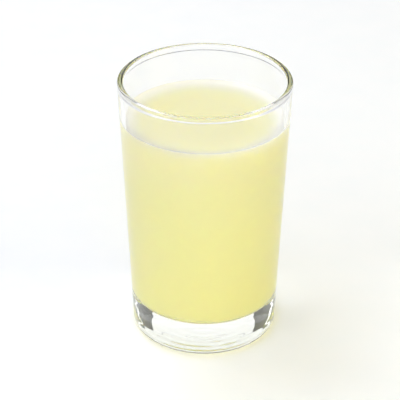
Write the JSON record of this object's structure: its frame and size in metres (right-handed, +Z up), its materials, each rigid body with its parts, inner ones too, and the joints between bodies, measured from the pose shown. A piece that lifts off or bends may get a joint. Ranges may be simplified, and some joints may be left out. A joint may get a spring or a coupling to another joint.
{
  "type": "glass of lemonade",
  "caption": "Plain straight-sided clear glass tumbler with a thick base, filled with cloudy pale yellow lemonade to a little below the rim.",
  "frame": {"origin": "middle of the ring that the glass stands on, on its axis and level with the table", "axes": "+Z up along the tumbler's axis; the part is round, so +X and +Y are free"},
  "size_m": [0.0708, 0.0708, 0.115],
  "materials": {
    "glass": "clear fire-polished soda-lime glass",
    "lemonade": "cloudy liquid with a smooth wet surface"
  },
  "bodies": {
    "root": {"glass": "glass", "lemonade": "lemonade"}
  },
  "joints": []
}
